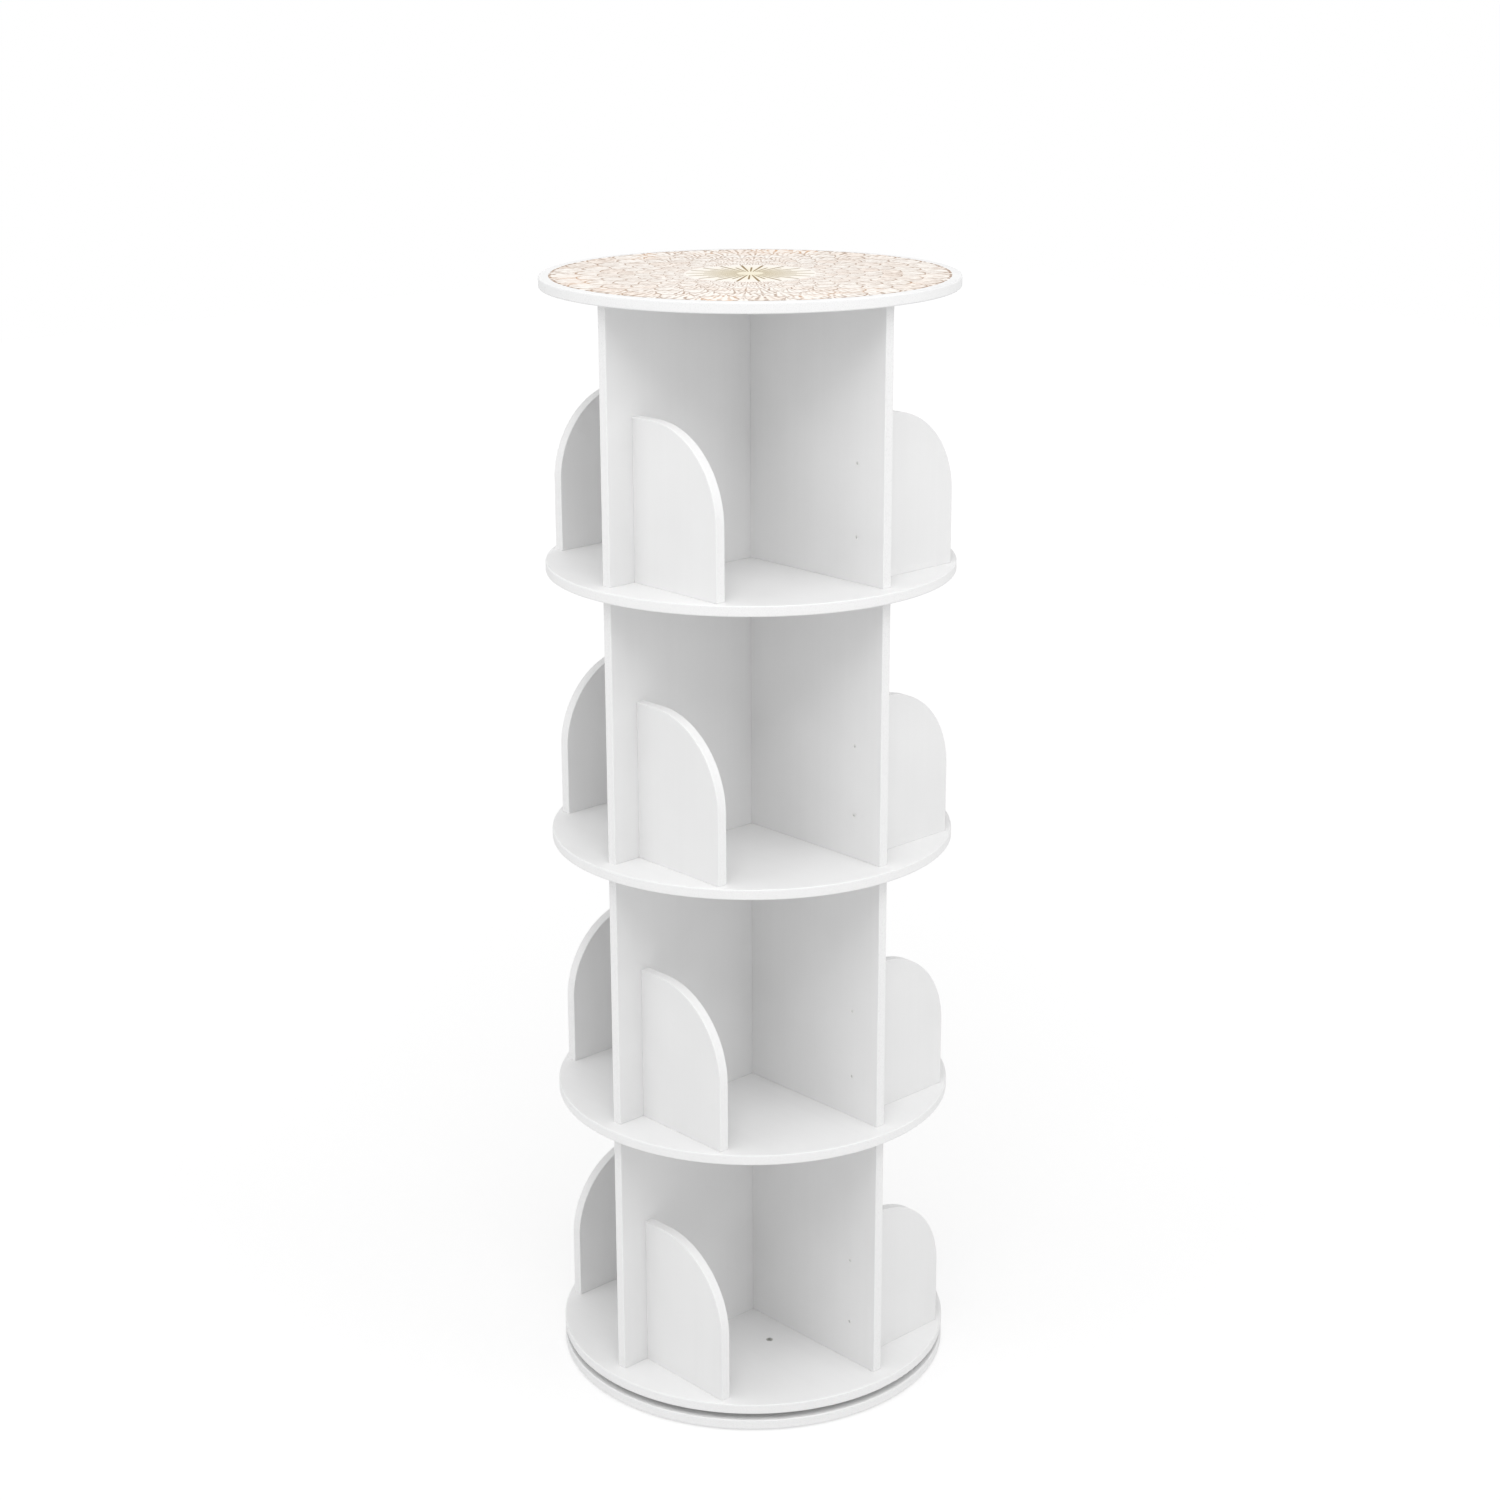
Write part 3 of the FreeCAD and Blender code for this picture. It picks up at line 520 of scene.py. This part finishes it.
def place_camera(studio):
    """Stand the camera in the room and aim it."""
    camera = bpy.data.cameras.new("studio_camera")
    camera.sensor_width = 36
    camera.lens = studio.lens
    view = bpy.data.objects.new("studio_camera", camera)
    view.matrix_world = (Matrix.Rotation(studio.azimuth, 4, "Z")
                         @ Matrix.Translation((0, -studio.distance, studio.height))
                         @ Matrix.Rotation(studio.yaw, 4, "Z")
                         @ Matrix.Rotation(math.pi / 2 - studio.pitch, 4, "X")
                         @ Matrix.Rotation(studio.roll, 4, "Z"))
    bpy.context.scene.collection.objects.link(view)
    bpy.context.scene.camera = view


# ---------------------------------------------------------------- operators
class TOWER_OT_finish_discs(bpy.types.Operator):
    """Give the base, the floor and the shelves the white board's finish"""

    bl_idname = "tower.finish_discs"
    bl_label = "Discs"

    def execute(self, context):
        boards = context.scene.tower_boards
        dress(DISCS, calendered_board("calendered_foamed_pvc_disc", boards, "Z"))
        return {"FINISHED"}


class TOWER_OT_finish_uprights(bpy.types.Operator):
    """Give the crossed uprights the white board's finish"""

    bl_idname = "tower.finish_uprights"
    bl_label = "Uprights"

    def execute(self, context):
        boards = context.scene.tower_boards
        for axis, names in UPRIGHTS.items():
            name = f"calendered_foamed_pvc_upright_{axis.lower()}"
            dress(names, calendered_board(name, boards, axis))
        return {"FINISHED"}


class TOWER_OT_finish_fences(bpy.types.Operator):
    """Give the quarter-round fences the white board's finish"""

    bl_idname = "tower.finish_fences"
    bl_label = "Fences"

    def execute(self, context):
        boards = context.scene.tower_boards
        for axis, names in FENCES.items():
            name = f"calendered_foamed_pvc_fence_{axis.lower()}"
            dress(names, calendered_board(name, boards, axis))
        return {"FINISHED"}


class TOWER_OT_print_top(bpy.types.Operator):
    """Print the top disc"""

    bl_idname = "tower.print_top"
    bl_label = "Printed top"

    def execute(self, context):
        dress(TOP, printed_board(context.scene.tower_boards, context.scene.tower_print))
        return {"FINISHED"}


class TOWER_OT_finish_turntable(bpy.types.Operator):
    """Give the bearing's rings, balls and cage their metals and nylon"""

    bl_idname = "tower.finish_turntable"
    bl_label = "Turntable"

    def execute(self, context):
        dress(RINGS, brushed_aluminium())
        dress(("turntable_balls",), polished_bearing_steel())
        dress(("ball_cage",), moulded_nylon())
        return {"FINISHED"}


class TOWER_OT_finish_fasteners(bpy.types.Operator):
    """Give the screws, bolts, brackets and dowels their finishes"""

    bl_idname = "tower.finish_fasteners"
    bl_label = "Fasteners"

    def execute(self, context):
        dress(ZINC_SCREWS, bright_zinc_plated_steel())
        dress(("fence_side_screws",), white_coating("white_lacquered_steel", 0.8, 0.32))
        dress(("corner_brackets",), white_coating("white_powder_coated_steel", 0.6, 0.5))
        dress(("upright_dowels",), turned_beech())
        return {"FINISHED"}


class TOWER_OT_finish_pads(bpy.types.Operator):
    """Give the pads under the base their foam rubber"""

    bl_idname = "tower.finish_pads"
    bl_label = "Foot pads"

    def execute(self, context):
        dress(("foot_pads",), die_cut_foam_rubber())
        return {"FINISHED"}


class TOWER_OT_build_studio(bpy.types.Operator):
    """Lay the floor, light the room and place the camera"""

    bl_idname = "tower.build_studio"
    bl_label = "Studio"

    def execute(self, context):
        studio = context.scene.tower_studio
        lay_floor(studio)
        light_room(studio)
        for name, (turn, reach, height, side) in SOFT_BOXES.items():
            add_soft_box(f"{name}_soft_box", studio.azimuth + math.radians(turn), reach,
                         height, side, getattr(studio, f"{name}_power"))
        place_camera(studio)
        context.scene.view_settings.view_transform = "Standard"
        return {"FINISHED"}


# ---------------------------------------------------------------- panel and running
OPERATORS = (
    TOWER_OT_finish_discs,
    TOWER_OT_finish_uprights,
    TOWER_OT_finish_fences,
    TOWER_OT_print_top,
    TOWER_OT_finish_turntable,
    TOWER_OT_finish_fasteners,
    TOWER_OT_finish_pads,
    TOWER_OT_build_studio,
)
SETTINGS = {
    "tower_boards": TowerBoards,
    "tower_print": TowerPrint,
    "tower_studio": TowerStudio,
}


class TOWER_PT_panel(bpy.types.Panel):
    """Lists the tower's settings and the steps that finish it"""

    bl_idname = "TOWER_PT_panel"
    bl_label = "Revolving media tower"
    bl_space_type = "VIEW_3D"
    bl_region_type = "UI"
    bl_category = "Tower"

    def draw(self, context):
        for setting, group in SETTINGS.items():
            box = self.layout.box()
            for name in group.__annotations__:
                box.prop(getattr(context.scene, setting), name)
        for operator in OPERATORS:
            self.layout.operator(operator.bl_idname)


CLASSES = (*SETTINGS.values(), *OPERATORS, TOWER_PT_panel)


def register():
    """Make the classes and the settings known to Blender."""
    for item in CLASSES:
        bpy.utils.register_class(item)
    for setting, group in SETTINGS.items():
        setattr(bpy.types.Scene, setting, bpy.props.PointerProperty(type=group))


def unregister():
    """Take the settings and the classes away again."""
    for setting in SETTINGS:
        delattr(bpy.types.Scene, setting)
    for item in reversed(CLASSES):
        bpy.utils.unregister_class(item)


def main():
    """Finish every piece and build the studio."""
    register()
    for operator in OPERATORS:
        getattr(bpy.ops.tower, operator.bl_idname.removeprefix("tower."))()


if __name__ == "__main__":
    main()
